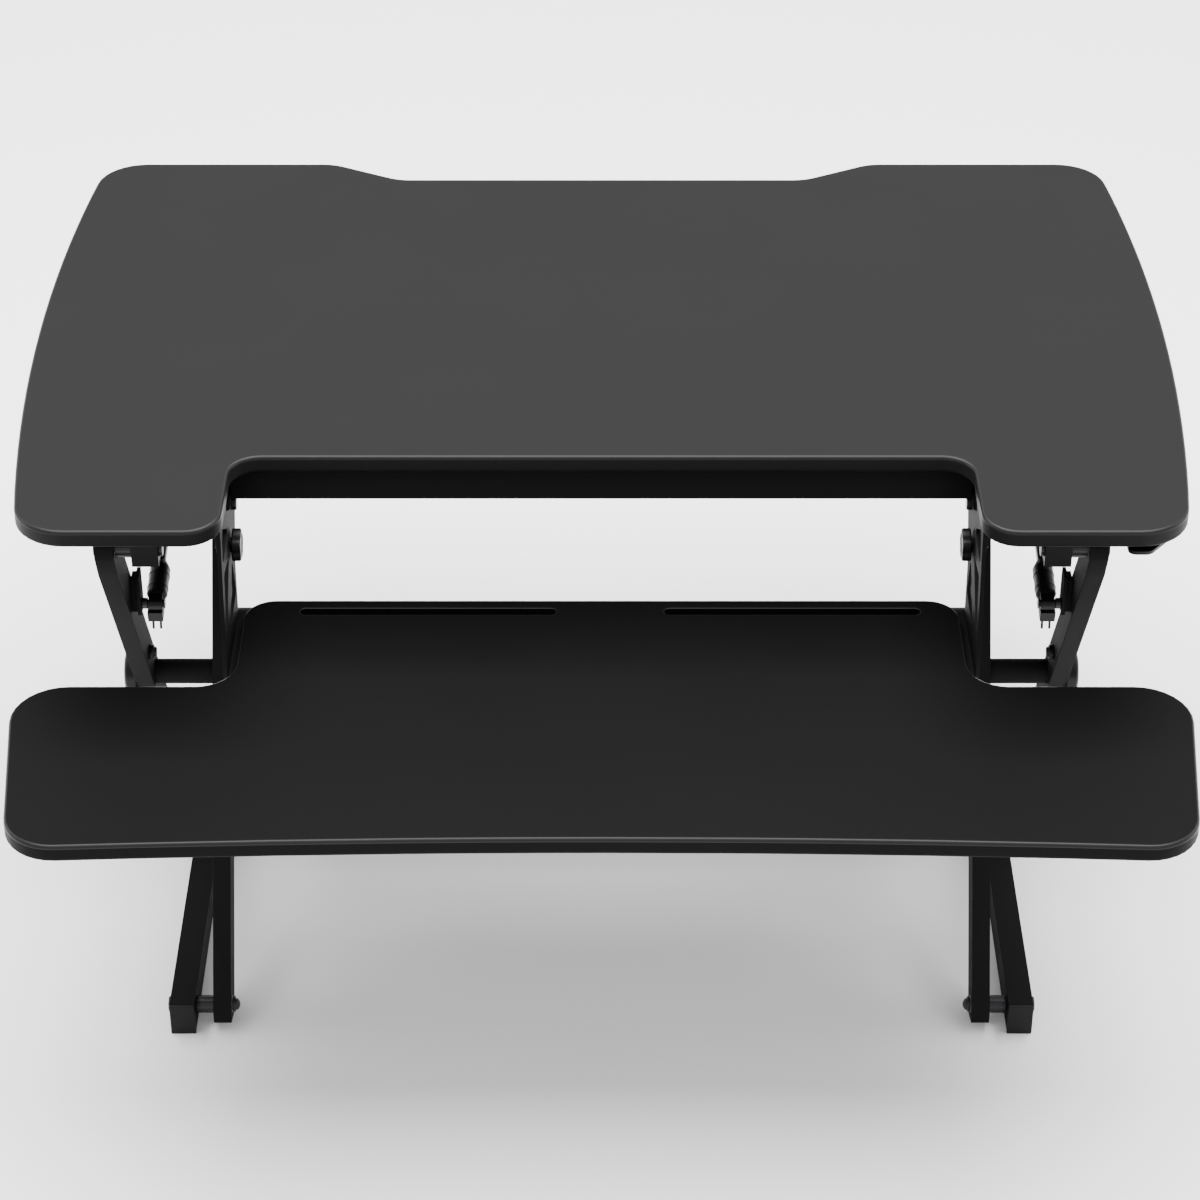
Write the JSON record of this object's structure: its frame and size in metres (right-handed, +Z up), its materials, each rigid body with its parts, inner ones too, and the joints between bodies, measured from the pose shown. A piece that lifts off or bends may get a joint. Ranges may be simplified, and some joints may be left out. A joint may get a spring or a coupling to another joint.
{
  "type": "standing desk converter",
  "caption": "Height-adjustable desk riser with a wide recessed desktop on crossed side arms, a hanging keyboard tray in front and gas struts.",
  "frame": {"origin": "centre of the whole object's footprint, on the table it stands on, at full height", "axes": "+X to the user's right, +Y to the back, away from the user, +Z up"},
  "size_m": [0.943, 0.8262, 0.5],
  "materials": {
    "desktop_laminate": "fine satin laminate",
    "tray_laminate": "fine satin laminate",
    "frame_paint": "satin powder coat",
    "black_plastic": "moulded, slightly glossy",
    "foot_rubber": "matte",
    "bush_plastic": "smooth",
    "black_steel": "black oxide",
    "strut_rod_steel": "ground, darkened"
  },
  "bodies": {
    "base": {"base_rail_left": "frame_paint", "base_rail_right": "frame_paint", "base_front_caps": "black_plastic", "base_rear_caps": "black_plastic", "base_feet": "foot_rubber", "base_crossbar": "frame_paint", "base_pivot_bolts": "black_steel", "base_pivot_spacers": "black_steel"},
    "inner_arms": {"inner_arm_left": "frame_paint", "inner_arm_right": "frame_paint", "inner_arm_bushes": "bush_plastic", "scissor_crossbar": "frame_paint", "upper_roller_pins": "black_steel"},
    "outer_arms": {"outer_arm_left": "frame_paint", "outer_arm_right": "frame_paint", "outer_arm_bushes": "bush_plastic", "pivot_caps": "black_plastic", "lower_roller_pins": "black_steel", "strut_brackets": "frame_paint", "strut_pins": "black_steel", "travel_stops": "black_plastic"},
    "upper_rollers": {"upper_roller_left": "bush_plastic", "upper_roller_right": "bush_plastic"},
    "lower_rollers": {"lower_roller_left": "bush_plastic", "lower_roller_right": "bush_plastic"},
    "gas_rods": {"strut_head_left": "black_plastic", "strut_head_right": "black_plastic", "strut_rod_left": "strut_rod_steel", "strut_rod_right": "strut_rod_steel", "wire_clamp_left": "black_plastic", "wire_clamp_right": "black_plastic"},
    "gas_cylinders": {"strut_cylinder_left": "frame_paint", "strut_cylinder_right": "frame_paint"},
    "desk_frame": {"desktop": "desktop_laminate", "top_rail_left": "frame_paint", "top_rail_right": "frame_paint", "top_rail_plugs": "black_plastic", "front_beam": "frame_paint", "rear_beam": "frame_paint", "top_pivot_bolts": "black_steel", "top_pivot_spacers": "black_steel", "strut_anchors": "frame_paint", "desktop_tabs": "frame_paint", "desktop_screws": "black_steel", "side_bracket_left": "frame_paint", "side_bracket_right": "frame_paint", "hanger_left": "frame_paint", "hanger_right": "frame_paint", "hanger_bolts": "black_steel", "tray_screws": "black_steel", "keyboard_tray": "tray_laminate", "lever_bracket": "frame_paint", "lever_pin": "black_steel"},
    "knob_left": {"knob_left": "black_plastic"},
    "knob_right": {"knob_right": "black_plastic"},
    "release_lever": {"release_lever": "black_plastic"}
  },
  "joints": [
    {"name": "lift_fold", "type": "hinge", "parent": "base", "child": "inner_arms", "pos_m": [0, -0.18889, 0.016], "axis": [-1, 0, 0], "range_deg": [0, 40]},
    {"name": "outer_arm_pivot", "type": "hinge", "parent": "inner_arms", "child": "outer_arms", "pos_m": [0, -0.03457, 0.25203], "axis": [1, 0, 0], "range_deg": [0, 80.1]},
    {"name": "desk_pivot", "type": "hinge", "parent": "outer_arms", "child": "desk_frame", "pos_m": [0, -0.17904, 0.473], "axis": [-1, 0, 0], "range_deg": [0, 40.1]},
    {"name": "gas_spring_tilt", "type": "hinge", "parent": "outer_arms", "child": "gas_rods", "pos_m": [0, -0.1172, 0.37842], "axis": [-1, 0, 0], "range_deg": [0, 57.5]},
    {"name": "gas_spring_stroke", "type": "slide", "parent": "gas_rods", "child": "gas_cylinders", "axis": [0, 0.98, 0.1991], "range_m": [-0.0515, 0]},
    {"name": "upper_roller_spin", "type": "hinge", "parent": "inner_arms", "child": "upper_rollers", "pos_m": [0, 0.10989, 0.473], "axis": [1, 0, 0], "continuous": true},
    {"name": "lower_roller_spin", "type": "hinge", "parent": "outer_arms", "child": "lower_rollers", "pos_m": [0, 0.11974, 0.016], "axis": [1, 0, 0], "continuous": true},
    {"name": "knob_left_turn", "type": "hinge", "parent": "desk_frame", "child": "knob_left", "pos_m": [0, -0.10789, 0.428], "axis": [1, 0, 0], "continuous": true},
    {"name": "knob_right_turn", "type": "hinge", "parent": "desk_frame", "child": "knob_right", "pos_m": [0, -0.10789, 0.428], "axis": [1, 0, 0], "continuous": true},
    {"name": "release_lever_squeeze", "type": "hinge", "parent": "desk_frame", "child": "release_lever", "pos_m": [0.421, -0.12389, 0.479], "axis": [-1, 0, 0], "range_deg": [0, 3], "stiffness_Nm_per_rad": 0.3, "springref_deg": -11.46}
  ],
  "couplings": [
    {"joint": "outer_arm_pivot", "follows": "lift_fold", "ratio": 2},
    {"joint": "desk_pivot", "follows": "lift_fold", "ratio": 1},
    {"joint": "gas_spring_tilt", "follows": "lift_fold", "ratio": 1.4179},
    {"joint": "gas_spring_stroke", "follows": "lift_fold", "m_per_rad": -0.071861}
  ]
}
